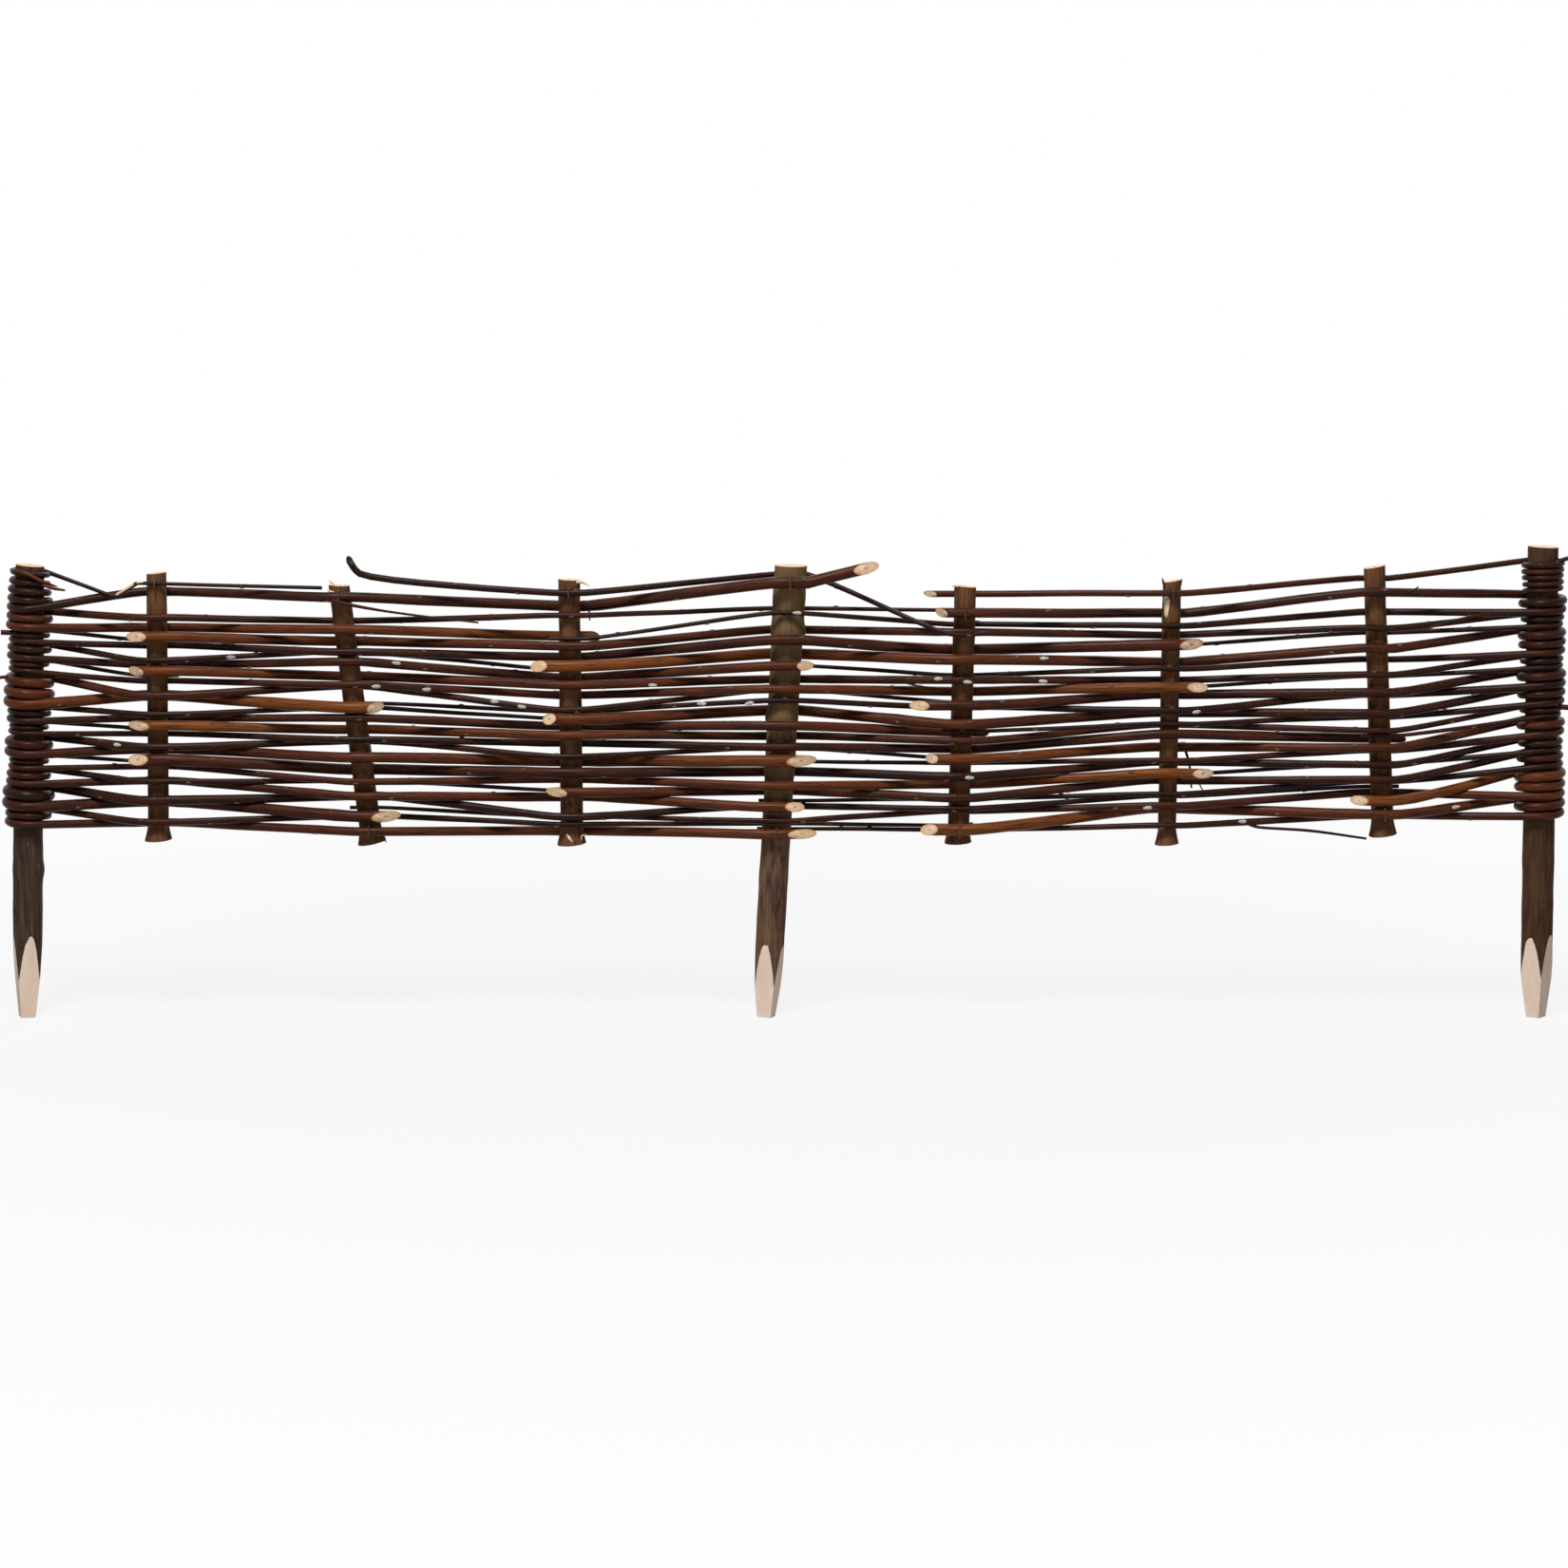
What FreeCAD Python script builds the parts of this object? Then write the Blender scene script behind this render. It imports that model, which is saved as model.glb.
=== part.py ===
import FreeCAD, Part

import math
import os
from collections import namedtuple

from FreeCAD import Vector

# A low garden hurdle of woven willow: three pointed stakes, six uprights between them, and long
# tapering rods woven in front of one pole and behind the next. Each rod turns round an end stake
# and comes back. X runs along the hurdle, the cut butts show on the front at -Y, and Z is up.
# The origin is on the axis of the middle stake at the ground line.

# Whole hurdle
hurdle_length = 1158.0      # between the end stakes, at the ground line
weave_height = 200.0

# Poles
pole_sides = 12             # flats round a pole, with a corner to the front and to the back
stake_diameter = 23.0
upright_diameter = 16.5
leg_length = 73.0           # round part of a stake below the ground line
point_length = 61.0         # sharpened end below that
point_width = 11.0          # across the blunt tip
leg_shoulder = 0.2          # how far the round leg stands out past the stake's corners
foot_flare = 2.6            # how far the cut foot of an upright spreads past its side
foot_flare_height = 13.0

# One row for each pole, from left to right. gap: from the pole on its left, at the ground line, as a share
# of the hurdle's length. lean: run in X for each mm of rise. girth: share of the common diameter at the
# ground line and at the top. foot and top: where the pole starts above the ground line and where it ends.
# low and high: underside and top of the woven courses there. rail: the rod that lies over them.
# These five are shares of the weave's height. cut: tilt of the sawn top, in degrees.
Pole = namedtuple("Pole", "name gap lean girth top_girth foot top cut low high rail")
pole_shares = [
    Pole("left_stake", 0, 0.030, 0.98, 0.94, 0, 1.075, 4, 0.070, 0.880, 0.960),
    Pole("upright_1", 0.0864, 0.011, 0.98, 0.92, 0.020, 1.045, -6, 0.060, 0.870, 0.968),
    Pole("upright_2", 0.1416, -0.115, 1.04, 0.94, 0.010, 1.005, 9, 0.045, 0.865, 0.960),
    Pole("upright_3", 0.1321, -0.004, 1.06, 1.00, 0.005, 1.020, 3, 0.025, 0.880, 0.923),
    Pole("middle_stake", 0.1347, 0.055, 0.96, 1.08, 0, 1.075, -2, 0.035, 0.945, 0.981),
    Pole("upright_4", 0.1209, 0.022, 0.98, 1.02, 0.010, 0.995, 4, 0.040, 0.925, 0.960),
    Pole("upright_5", 0.1382, 0.007, 0.85, 0.85, 0.005, 1.015, -10, 0.070, 0.920, 0.973),
    Pole("upright_6", 0.1433, -0.051, 1.03, 0.98, 0.040, 1.070, -7, 0.090, 0.970, 1.020),
    Pole("right_stake", 0.1028, -0.008, 1.04, 1.00, 0, 1.145, 3, 0.100, 0.960, 1.017),
]
poles = [
    share._replace(
        gap=share.gap * hurdle_length,
        foot=share.foot * weave_height,
        top=share.top * weave_height,
        low=share.low * weave_height,
        high=share.high * weave_height,
        rail=share.rail * weave_height,
    )
    for share in pole_shares
]
middle = 4

# Rods
rod_sides = 6               # flats round a rod, which has the area of a round one
rod_butt_diameter = 7.8
rod_tip_diameter = 2.8
taper_fullness = 1.3        # 1 tapers a rod evenly, and more keeps it thick for longer
thin_rod_diameter = 5.0     # thick end of the two thin rods on top
thin_tip_diameter = 3.4
rail_step = 8.3             # from the rod over the courses up to the thin one over that
butt_spread = 0.10          # how far butts differ from the common diameter, as a share
bend_length = 26.0          # stretch over which a rod bears on a pole
cut_slope = 1.7             # slant of a butt's cut face
tip_overhang = 15.0         # a tip's reach past its last pole
clearance = 0.3             # between a rod and the pole it bears on
rod_gap = 0.5               # between rods that lie on one another
pairing = 0.85              # 1 brings each front rod level with the rod behind it
crowding = 1.35             # 1 spaces the lanes evenly, and more crowds them towards the ground
unevenness = 3.4            # wander of the hand-laid rods, up and down
wander_lane_turn = 2.3      # turn of that wander from lane to lane and from pole to pole, in radians
wander_pole_turn = 1.7
butt_turn = 2.1             # the same for the thickness of butts, from rod to rod
settle_rounds = 120         # enough for the rods to stop moving
passing_shares = (0.42, 0.50, 0.58)     # where along a bay the rods that change sides pass each other
wrap_turns = 1.5
extra_turn_every = 8        # one course in so many takes another turn round each stake
top_wrap_turns = 4.5
wrap_facets = 8             # straight stretches in one turn round a stake

# Courses, from the bottom up. Each is a ring of two rods: one starts at a pole and goes right,
# the other starts at a pole and goes left. overhang: a butt's reach past its first pole, in butt diameters.
Course = namedtuple("Course", "right_start right_overhang left_start left_overhang")
courses = [
    Course(5, 3.0, 4, 2.7),
    Course(7, 2.5, 2, 1.9),
    Course(3, 1.5, 4, 1.7),
    Course(1, 1.8, 6, 3.3),
    Course(5, 2.9, 4, 2.2),
    Course(1, 1.7, 7, 1.9),
    Course(3, 2.0, 5, 2.0),
    Course(5, 4.3, 2, 2.3),
    Course(1, 1.9, 6, 2.7),
    Course(3, 3.0, 4, 2.0),
    Course(1, 1.8, 6, 1.9),
    Course(5, 2.3, 3, 2.2),
]
top_butt_overhang = 58.0    # thick rod over the middle stake
top_butt_rise = 11.0
top_butt_lift = 9.0         # how far it rides up on that stake
kink_share = 0.67           # where its split end dips on the way back, as a share of that bay
kink_drop = 15.0
split_tail = 127.0          # split end past its last pole
split_drop = 3.5
hook_run = 158.0            # thin rod past its last pole, up to the hook
hook_rise = 14.5
hook_length = 7.0
hook_lift = 10.0

# Side shoot left on the lowest rod, which hangs clear of the weave
shoot_pole = "upright_5"    # on its left
shoot_share = 0.40          # where it leaves the rod, as a share of the way to the next pole
shoot_run = 84.0
shoot_drop = 9.0
shoot_bend = 0.35           # share of the drop that is reached half way
shoot_diameter = 2.6
shoot_tip_diameter = 1.8

# Staples that pin the outer rods to the poles
staple_wire = 1.2
staple_depth = 8.0
staple_fit = 0.1

FRONT = -1
BACK = 1
flatness = 1e-7             # four corners this close to a plane make one face
lane_count = 2 * len(courses) + 2
last_pole = len(poles) - 1
top_lane = lane_count - 2
thin_lane = lane_count - 1
dive_lane = thin_lane - 4   # where the loose tip on top comes to lie, in front of the others
stapled_places = [
    (1, thin_lane), (3, thin_lane), (2, top_lane), (4, top_lane), (6, top_lane),
    (5, top_lane - 1), (2, 0), (4, 0), (5, 1), (7, 1),
]
half_bend = bend_length / 2
half_facet = math.pi / wrap_facets
corner_reach = math.sqrt(2 * math.pi / (rod_sides * math.sin(2 * math.pi / rod_sides)))


def is_stake(number):
    return number in (0, middle, last_pole)


def pole_diameter(number):
    return stake_diameter if is_stake(number) else upright_diameter


def pole_radius(number, z):
    """Radius of a pole at a height, without the flare of a foot."""
    pole = poles[number]
    share = z / pole.top
    return pole_diameter(number) / 2 * (pole.girth + (pole.top_girth - pole.girth) * share)


def bearing_radius(number, low, high):
    """Largest radius of a pole between two heights."""
    radius = max(pole_radius(number, low), pole_radius(number, high))
    if is_stake(number):
        return radius
    flared = (poles[number].foot + foot_flare_height - low) / foot_flare_height
    return radius + foot_flare * max(flared, 0)


def pole_x(number, z):
    """X of a pole's axis at a height, measured from the middle stake's."""
    along = sum(pole.gap for pole in poles[1:number + 1])
    to_middle = sum(pole.gap for pole in poles[1:middle + 1])
    return along - to_middle + poles[number].lean * z


def natural_side(number, lane):
    """A lane passes in front of every second pole, and the lane above takes the others."""
    return FRONT if (number + lane) % 2 == 0 else BACK


def draft_height(number, lane):
    """Where a lane lies at a pole before the rods settle: front and back rods draw level in pairs."""
    pole = poles[number]
    if lane >= top_lane:
        return pole.rail + (lane - top_lane) * rail_step
    pitch = (pole.high - pole.low) / top_lane
    toward_partner = 1 if natural_side(number, lane) == FRONT else -1
    wander = unevenness * math.sin(wander_lane_turn * lane + wander_pole_turn * number)
    level = pole.low + (pole.high - pole.low) * ((lane + 0.5) / top_lane) ** crowding
    return level + toward_partner * pairing * pitch / 2 + wander


class Crossing:
    """One rod passing one pole, in front of it or behind it."""

    def __init__(self, number, lane, side, layer=0):
        self.number = number
        self.lane = lane
        self.side = side
        self.layer = layer
        self.z = draft_height(number, lane)
        self.radius = 0

    @property
    def stapled(self):
        return self.side == FRONT and (self.number, self.lane) in stapled_places

    def x(self):
        return pole_x(self.number, self.z)

    def y(self):
        bearing = bearing_radius(self.number, self.z - self.radius, self.z + self.radius)
        stand_off = self.radius * corner_reach + clearance + self.layer * (rod_butt_diameter + rod_gap)
        return self.side * (bearing + stand_off)


class Rod:
    """A willow rod: its crossings from butt to tip, and its turns round an end stake."""

    def __init__(self, name, crossings, butt, tip, overhang, turns=wrap_turns):
        self.name = name
        self.crossings = crossings
        self.turns = turns
        self.overhang = overhang
        self.lead = []
        self.tail = tip_overhang
        self.tail_drop = 0
        self.kinked = False
        self.taper(butt, tip)

    def wraps_after(self, place):
        """True where this crossing and the next are the two ends of a turn round an end stake."""
        last = len(self.crossings) - 1
        return place < last and self.crossings[place].number == self.crossings[place + 1].number

    def heading(self, place):
        """Direction in X in which the rod passes a crossing."""
        if place + 1 < len(self.crossings) and not self.wraps_after(place):
            return math.copysign(1, self.crossings[place + 1].number - self.crossings[place].number)
        return math.copysign(1, self.crossings[place].number - self.crossings[place - 1].number)

    def taper(self, butt, tip):
        """Gives each crossing the rod's radius there."""
        reached = [0]
        for place, (here, there) in enumerate(zip(self.crossings, self.crossings[1:])):
            step = abs(there.x() - here.x())
            if self.wraps_after(place):
                step = self.turns * math.pi * (pole_diameter(here.number) + butt)
            reached.append(reached[-1] + step)
        for crossing, length in zip(self.crossings, reached):
            gone = (length / reached[-1]) ** taper_fullness
            crossing.radius = (butt + (tip - butt) * gone) / 2


def route(start, stake, lane_out, lane_back, finish):
    """Crossings of a rod that runs to an end stake, turns round it and comes back a lane away."""
    step = 1 if stake > start else -1
    out = [(number, lane_out) for number in range(start, stake + step, step)]
    back = [(number, lane_back) for number in range(stake, finish - step, -step)]
    crossings = [Crossing(number, lane, natural_side(number, lane)) for number, lane in out + back]
    # The tip tucks in on the other side of the pole from the butt that starts there.
    crossings[-1].side = -crossings[-1].side
    return crossings


def course_rods():
    rods = []
    for number, course in enumerate(courses):
        low, high = 2 * number, 2 * number + 1
        right = route(course.right_start, last_pole, high, low, course.left_start)
        left = route(course.left_start, 0, low, high, course.right_start)
        place_in_cycle = number % extra_turn_every
        for label, crossings, overhang, extra in (
            ("right", right, course.right_overhang, place_in_cycle == 1),
            ("left", left, course.left_overhang, place_in_cycle == extra_turn_every - 1),
        ):
            butt = rod_butt_diameter * (1 + butt_spread * math.cos(butt_turn * len(rods)))
            name = f"rod_{number + 1:02d}_{label}"
            turns = wrap_turns + extra
            reach = overhang * rod_butt_diameter
            rods.append(Rod(name, crossings, butt, rod_tip_diameter, reach, turns))
    return rods


def natural_crossings(numbers, lane):
    return [Crossing(number, lane, natural_side(number, lane)) for number in numbers]


def top_rods():
    """The three rods that finish the top: one thick with a split end, and two thin."""
    crossings = natural_crossings(range(middle, -1, -1), top_lane) + natural_crossings((0, 1), thin_lane)
    thick_butt = rod_butt_diameter * (1 + butt_spread)
    thick = Rod("top_rod_left", crossings, thick_butt, rod_tip_diameter, half_bend, top_wrap_turns)
    thick.lead = [Vector(top_butt_overhang, 0, top_butt_rise)]
    thick.crossings[0].z += top_butt_lift
    thick.kinked = True
    thick.tail = split_tail
    thick.tail_drop = split_drop

    crossings = natural_crossings((middle - 1, middle), thin_lane)
    crossings.append(Crossing(middle + 1, dive_lane, FRONT, layer=1))
    hooked = Rod("top_rod_middle", crossings, thin_rod_diameter, thin_tip_diameter, half_bend)
    bend = Vector(-hook_run, 0, hook_rise)
    hooked.lead = [bend + Vector(-hook_length, 0, hook_lift), bend]

    crossings = natural_crossings(range(middle + 1, last_pole), top_lane)
    crossings += natural_crossings([last_pole], thin_lane) + natural_crossings([last_pole], top_lane)
    bound = Rod("top_rod_right", crossings, thin_rod_diameter, thin_tip_diameter, bend_length, top_wrap_turns)
    return [thick, hooked, bound]


def spread(heights, gaps, lowest):
    """Heights moved as little as will keep each its gap above the one below it."""
    offsets = [0]
    for gap in gaps:
        offsets.append(offsets[-1] + gap)
    blocks = []
    for height, offset in zip(heights, offsets):
        mean, count = height - offset, 1
        while blocks and blocks[-1][0] > mean:
            below, below_count = blocks.pop()
            mean = (mean * count + below * below_count) / (count + below_count)
            count += below_count
        blocks.append((mean, count))
    level = [max(mean, lowest) for mean, count in blocks for _ in range(count)]
    return [height + offset for height, offset in zip(level, offsets)]


def touching(lower, upper):
    """Height between two rods that lie on one another, with room for a staple's leg if one is pinned."""
    room = staple_wire + rod_gap if lower.stapled or upper.stapled else 0
    return lower.radius + upper.radius + rod_gap + room


def settle(rods):
    """Lets the rods press each other apart at the poles, half way along the bays and on the end stakes."""
    beside = {}
    bays = {}
    wraps = {0: [], last_pole: []}
    for rod in rods:
        for place, here in enumerate(rod.crossings):
            if here.number in wraps:
                if rod.wraps_after(place):
                    wraps[here.number].append((rod, here, rod.crossings[place + 1]))
            elif here.layer == 0:
                beside.setdefault((here.number, here.side), []).append(here)
            if place + 1 < len(rod.crossings):
                there = rod.crossings[place + 1]
                if here.number != there.number and here.lane == there.lane:
                    strand = sorted((here, there), key=lambda crossing: crossing.number)
                    bays.setdefault(strand[0].number, []).append(strand)
    for crossings in beside.values():
        crossings.sort(key=lambda crossing: crossing.lane)
    for strands in bays.values():
        strands.sort(key=lambda strand: strand[0].lane)
    for stacked in wraps.values():
        stacked.sort(key=lambda wrap: wrap[1].lane)

    def settle_bay(strands, share):
        heights = [here.z + (there.z - here.z) * share for here, there in strands]
        radii = [here.radius + (there.radius - here.radius) * share for here, there in strands]
        gaps = [low + high + rod_gap for low, high in zip(radii, radii[1:])]
        left, right = (poles[crossing.number].low for crossing in strands[0])
        lowest = left + (right - left) * share + radii[0]
        for (here, there), old, new in zip(strands, heights, spread(heights, gaps, lowest)):
            here.z += new - old
            there.z += new - old

    def settle_side(crossings):
        gaps = [touching(low, high) for low, high in zip(crossings, crossings[1:])]
        lowest = poles[crossings[0].number].low + crossings[0].radius
        heights = spread([crossing.z for crossing in crossings], gaps, lowest)
        for crossing, height in zip(crossings, heights):
            crossing.z = height

    def settle_wraps(stacked):
        pitches = [2 * max(start.radius, end.radius) + rod_gap for rod, start, end in stacked]
        rises = [pitch * (rod.turns + 1 / wrap_facets) for pitch, (rod, _, _) in zip(pitches, stacked)]
        middles = [(start.z + end.z) / 2 for _, start, end in stacked]
        bottoms = [mid - rise / 2 for mid, rise in zip(middles, rises)]
        gaps = []
        for pitch, above, (rod, _, _) in zip(pitches, pitches[1:], stacked):
            whole_turns = math.floor(rod.turns)
            # A thinner rod climbs less than the one below it in the first half turn.
            lag = max(pitch - above, 0) * (0.5 + 0.5 / wrap_facets)
            gaps.append(pitch * whole_turns + (pitch + above) / 2 + lag)
        lowest = poles[stacked[0][1].number].low + pitches[0] / 2
        for (_, start, end), rise, bottom in zip(stacked, rises, spread(bottoms, gaps, lowest)):
            first, second = (start, end) if start.lane < end.lane else (end, start)
            first.z = bottom
            second.z = bottom + rise

    for _ in range(settle_rounds):
        for strands in bays.values():
            for share in passing_shares:
                settle_bay(strands, share)
        for crossings in beside.values():
            settle_side(crossings)
        for stacked in wraps.values():
            settle_wraps(stacked)


def wrap_stations(rod, start, end):
    """Points and radii of a rod's turns round an end stake, from one crossing to the other."""
    number = start.number
    outward = 1 if number == last_pole else -1
    steps = round(wrap_facets * rod.turns) + 1
    stations = []
    for step in range(steps + 1):
        share = step / steps
        z = start.z + (end.z - start.z) * share
        radius = start.radius + (end.radius - start.radius) * share
        reach = (pole_radius(number, z) + radius * corner_reach + clearance) / math.cos(half_facet)
        angle = math.pi / 2 + half_facet - 2 * half_facet * step
        x = pole_x(number, z) + outward * reach * math.cos(angle)
        stations.append((Vector(x, start.side * reach * math.sin(angle), z), radius))
    return stations


def bend_stations(rod, place):
    """The stretch in which a rod bears on a pole, with the butt or the tip where it is the first or last."""
    here = rod.crossings[place]
    spot = Vector(here.x(), here.y(), here.z)
    reach = Vector(rod.heading(place) * half_bend, 0, 0)
    ends = [spot - reach, spot + reach]
    if place == 0:
        ends[0] = spot - Vector(rod.heading(place) * rod.overhang, 0, 0)
    if place == len(rod.crossings) - 1:
        ends[1] = spot + Vector(rod.heading(place) * rod.tail, 0, -rod.tail_drop)
    return [(end, here.radius) for end in ends]


def kink_station(here, there):
    """The dip where a split rod has given way between two poles."""
    start = Vector(here.x(), here.y(), here.z)
    end = Vector(there.x(), there.y(), there.z)
    return start + (end - start) * kink_share - Vector(0, 0, kink_drop), there.radius


def rod_stations(rod):
    """Points and radii along a rod, from its butt to its tip."""
    first = rod.crossings[0]
    stations = [(Vector(first.x(), first.y(), first.z) + point, first.radius) for point in rod.lead]
    last = len(rod.crossings) - 1
    for place, here in enumerate(rod.crossings):
        if rod.wraps_after(place):
            stations += wrap_stations(rod, here, rod.crossings[place + 1])
        elif not (place and rod.wraps_after(place - 1)):
            stations += bend_stations(rod, place)
        if rod.kinked and place == last - 1:
            stations.append(kink_station(here, rod.crossings[last]))
    return stations


def skin(rings):
    """A solid with flat faces through outlines that have the same number of corners."""
    faces = [Part.Face(Part.makePolygon(ring + ring[:1])) for ring in (rings[0], rings[-1])]
    for lower, upper in zip(rings, rings[1:]):
        for side in range(len(lower)):
            after = (side + 1) % len(lower)
            corners = [lower[side], lower[after], upper[after], upper[side]]
            faces += flat_faces(corners)
    shell = Part.makeShell(faces)
    shell.sewShape()
    return Part.makeSolid(shell)


def flat_faces(corners):
    """One face through four corners, or two where they don't lie in a plane."""
    first, second, third, fourth = corners
    normal = (second - first).cross(third - first).normalize()
    loops = [corners]
    if abs(normal.dot(fourth - first)) > flatness:
        loops = [[first, second, third], [first, third, fourth]]
    return [Part.Face(Part.makePolygon(loop + loop[:1])) for loop in loops]


def ring(point, ahead, mitre, radius, slant):
    """A rod's outline across its run. slant pushes one side on, for a cut that shows its face."""
    reach = radius * corner_reach
    across = ahead.cross(Vector(0, 0, 1)).normalize()
    up = across.cross(ahead)
    corners = []
    for side in range(rod_sides):
        angle = 2 * math.pi * side / rod_sides
        offset = across * (reach * mitre * math.cos(angle)) + up * (reach * math.sin(angle))
        corners.append(point + offset + ahead * (slant * offset.y))
    return corners


def rod_solid(rod):
    stations = rod_stations(rod)
    points = [point for point, radius in stations]
    runs = [(end - start).normalize() for start, end in zip(points, points[1:])]
    rings = []
    for place, (point, radius) in enumerate(stations):
        before = runs[max(place - 1, 0)]
        after = runs[min(place, len(runs) - 1)]
        ahead = (before + after).normalize()
        slant = cut_slope * rod.crossings[0].side if place == 0 else 0
        rings.append(ring(point, ahead, 1 / ahead.dot(after), radius, slant))
    return skin(rings)


def bay_place(rods, lane, bay, share):
    """Middle and radius of the rod in a lane, a share of the way from one pole to the next."""
    for rod in rods:
        for here, there in zip(rod.crossings, rod.crossings[1:]):
            if here.lane == there.lane == lane and {here.number, there.number} == {bay, bay + 1}:
                left, right = sorted((here, there), key=lambda crossing: crossing.number)
                start = Vector(left.x() + half_bend, left.y(), left.z)
                end = Vector(right.x() - half_bend, right.y(), right.z)
                return start + (end - start) * share, left.radius + (right.radius - left.radius) * share


def side_shoot(rods):
    """A thin twig under the lowest rod, drooping towards its tip."""
    bay = [pole.name for pole in poles].index(shoot_pole)
    spot, radius = bay_place(rods, 0, bay, shoot_share)
    start = spot - Vector(0, 0, radius + clearance + shoot_diameter / 2)
    half_way = start + Vector(shoot_run / 2, 0, -shoot_drop * shoot_bend)
    tip = start + Vector(shoot_run, 0, -shoot_drop)
    thickness = (shoot_diameter, (shoot_diameter + shoot_tip_diameter) / 2, shoot_tip_diameter)
    rings = []
    for point, diameter in zip((start, half_way, tip), thickness):
        rings.append(ring(point, Vector(1, 0, 0), 1, diameter / 2, 0))
    return skin(rings)


def pole_ring(radius, height):
    """A pole's outline across its axis."""
    turns = [2 * math.pi * side / pole_sides for side in range(pole_sides)]
    return [Vector(radius * math.cos(turn), radius * math.sin(turn), height) for turn in turns]


def stake_point(radius):
    """The sharpened end of a stake, hewn from round to a small square tip."""
    start = pole_ring(radius, -leg_length)
    tip = []
    for corner in pole_ring(1, -leg_length - point_length):
        reach = point_width / 2 / max(abs(corner.x), abs(corner.y))
        tip.append(Vector(corner.x * reach, corner.y * reach, corner.z))
    return skin([start, tip])


def pole_solid(number):
    pole = poles[number]
    top_radius = pole_radius(number, pole.top)
    above = pole.top + top_radius
    top = pole_ring(top_radius, above)
    if is_stake(number):
        radius = pole_radius(number, 0)
        leg = Part.makeCylinder(radius + leg_shoulder, leg_length, Vector(0, 0, -leg_length))
        solid = leg.fuse([stake_point(radius), skin([pole_ring(radius, 0), top])])
    else:
        neck = pole.foot + foot_flare_height
        radius = pole_radius(number, neck)
        solid = skin([pole_ring(radius + foot_flare, pole.foot), pole_ring(radius, neck), top])
    size = 4 * top_radius
    saw = Part.makeBox(size, size, size, Vector(-size / 2, -size / 2, pole.top))
    saw.rotate(Vector(0, 0, pole.top), Vector(0, 1, 0), pole.cut)
    solid = solid.cut(saw)
    solid.rotate(Vector(), Vector(0, 1, 0), math.degrees(math.atan(pole.lean)))
    solid.translate(Vector(pole_x(number, 0), 0, 0))
    return solid


def staple_legs(crossing, fit):
    """The two legs of a staple, above and below a rod, from its crown into the pole."""
    size = staple_wire + 2 * fit
    front = crossing.y() - crossing.radius * corner_reach - clearance - staple_wire
    end = staple_depth - pole_radius(crossing.number, crossing.z) + fit
    legs = []
    for up in (1, -1):
        middle_height = crossing.z + up * (crossing.radius + (rod_gap + staple_wire) / 2)
        corner = Vector(crossing.x() - size / 2, front, middle_height - size / 2)
        legs.append(Part.makeBox(size, end - front, size, corner))
    return legs


def staple_solid(crossing):
    upper, lower = staple_legs(crossing, 0)
    low, high = lower.BoundBox, upper.BoundBox
    corner = Vector(low.XMin, low.YMin, low.ZMin)
    crown = Part.makeBox(staple_wire, staple_wire, high.ZMax - low.ZMin, corner)
    return crown.fuse([upper, lower]).removeSplitter()


os.makedirs("parts", exist_ok=True)
rods = course_rods() + top_rods()
settle(rods)
pinned = [crossing for rod in rods for crossing in rod.crossings if crossing.stapled]

for number, pole in enumerate(poles):
    solid = pole_solid(number)
    for crossing in pinned:
        if crossing.number == number:
            solid = solid.cut(staple_legs(crossing, staple_fit))
    solid.exportStep(f"parts/{pole.name}.step")

for rod in rods:
    rod_solid(rod).exportStep(f"parts/{rod.name}.step")

side_shoot(rods).exportStep("parts/side_shoot.step")
Part.makeCompound([staple_solid(crossing) for crossing in pinned]).exportStep("parts/staples.step")
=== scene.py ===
import math
import random

import bmesh
import bpy
import numpy as np
from mathutils import Matrix, Vector, noise


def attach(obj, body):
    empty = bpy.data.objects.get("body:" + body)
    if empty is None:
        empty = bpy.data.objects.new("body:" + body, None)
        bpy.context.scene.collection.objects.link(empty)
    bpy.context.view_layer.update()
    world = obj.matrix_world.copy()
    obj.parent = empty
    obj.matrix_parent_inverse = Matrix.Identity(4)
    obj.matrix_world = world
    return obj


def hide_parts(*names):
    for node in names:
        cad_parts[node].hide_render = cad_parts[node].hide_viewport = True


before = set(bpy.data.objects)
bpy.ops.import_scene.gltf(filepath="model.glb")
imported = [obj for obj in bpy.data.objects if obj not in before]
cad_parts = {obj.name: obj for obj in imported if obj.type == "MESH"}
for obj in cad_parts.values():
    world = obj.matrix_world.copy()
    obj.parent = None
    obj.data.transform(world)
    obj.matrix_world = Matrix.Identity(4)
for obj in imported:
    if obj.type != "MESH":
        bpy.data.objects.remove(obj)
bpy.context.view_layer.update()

# Stakes. Three round poles with the bark on, sawn off above and hewn on four sides below to a blunt
# point that is driven into the soil. The two outer ones carry the turns of the woven rods.

mm = 0.001
stake_rows = [
    # name, x at the ground line, lean, radius there and at the top, height of the top,
    # tilt of the sawn top, where the hewn point starts, and how far its faces are turned
    ("left_stake", -573.0, 0.030, 11.3, 10.8, 215, 4, -69, 20),
    ("middle_stake", 0.0, 0.055, 11.0, 12.4, 215, -2, -77, -20),
    ("right_stake", 585.0, -0.008, 12.0, 11.5, 229, 3, -68, -38),
]
hewn_to = -134 * mm
hewn_reach = 100 * mm
hewn_sides = 4
point_half_width = 5.5 * mm
# a log is a cylinder that starts one unit deep, with some spare length for the saw in millimetres
log_sides = 40
log_ring_step = 3.0 * mm
log_half_depth = 0.5
saw_spare = 12
saw_radii = 3
pole_crease = math.radians(35)
upwards = Vector((0, 0, 1))
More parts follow.
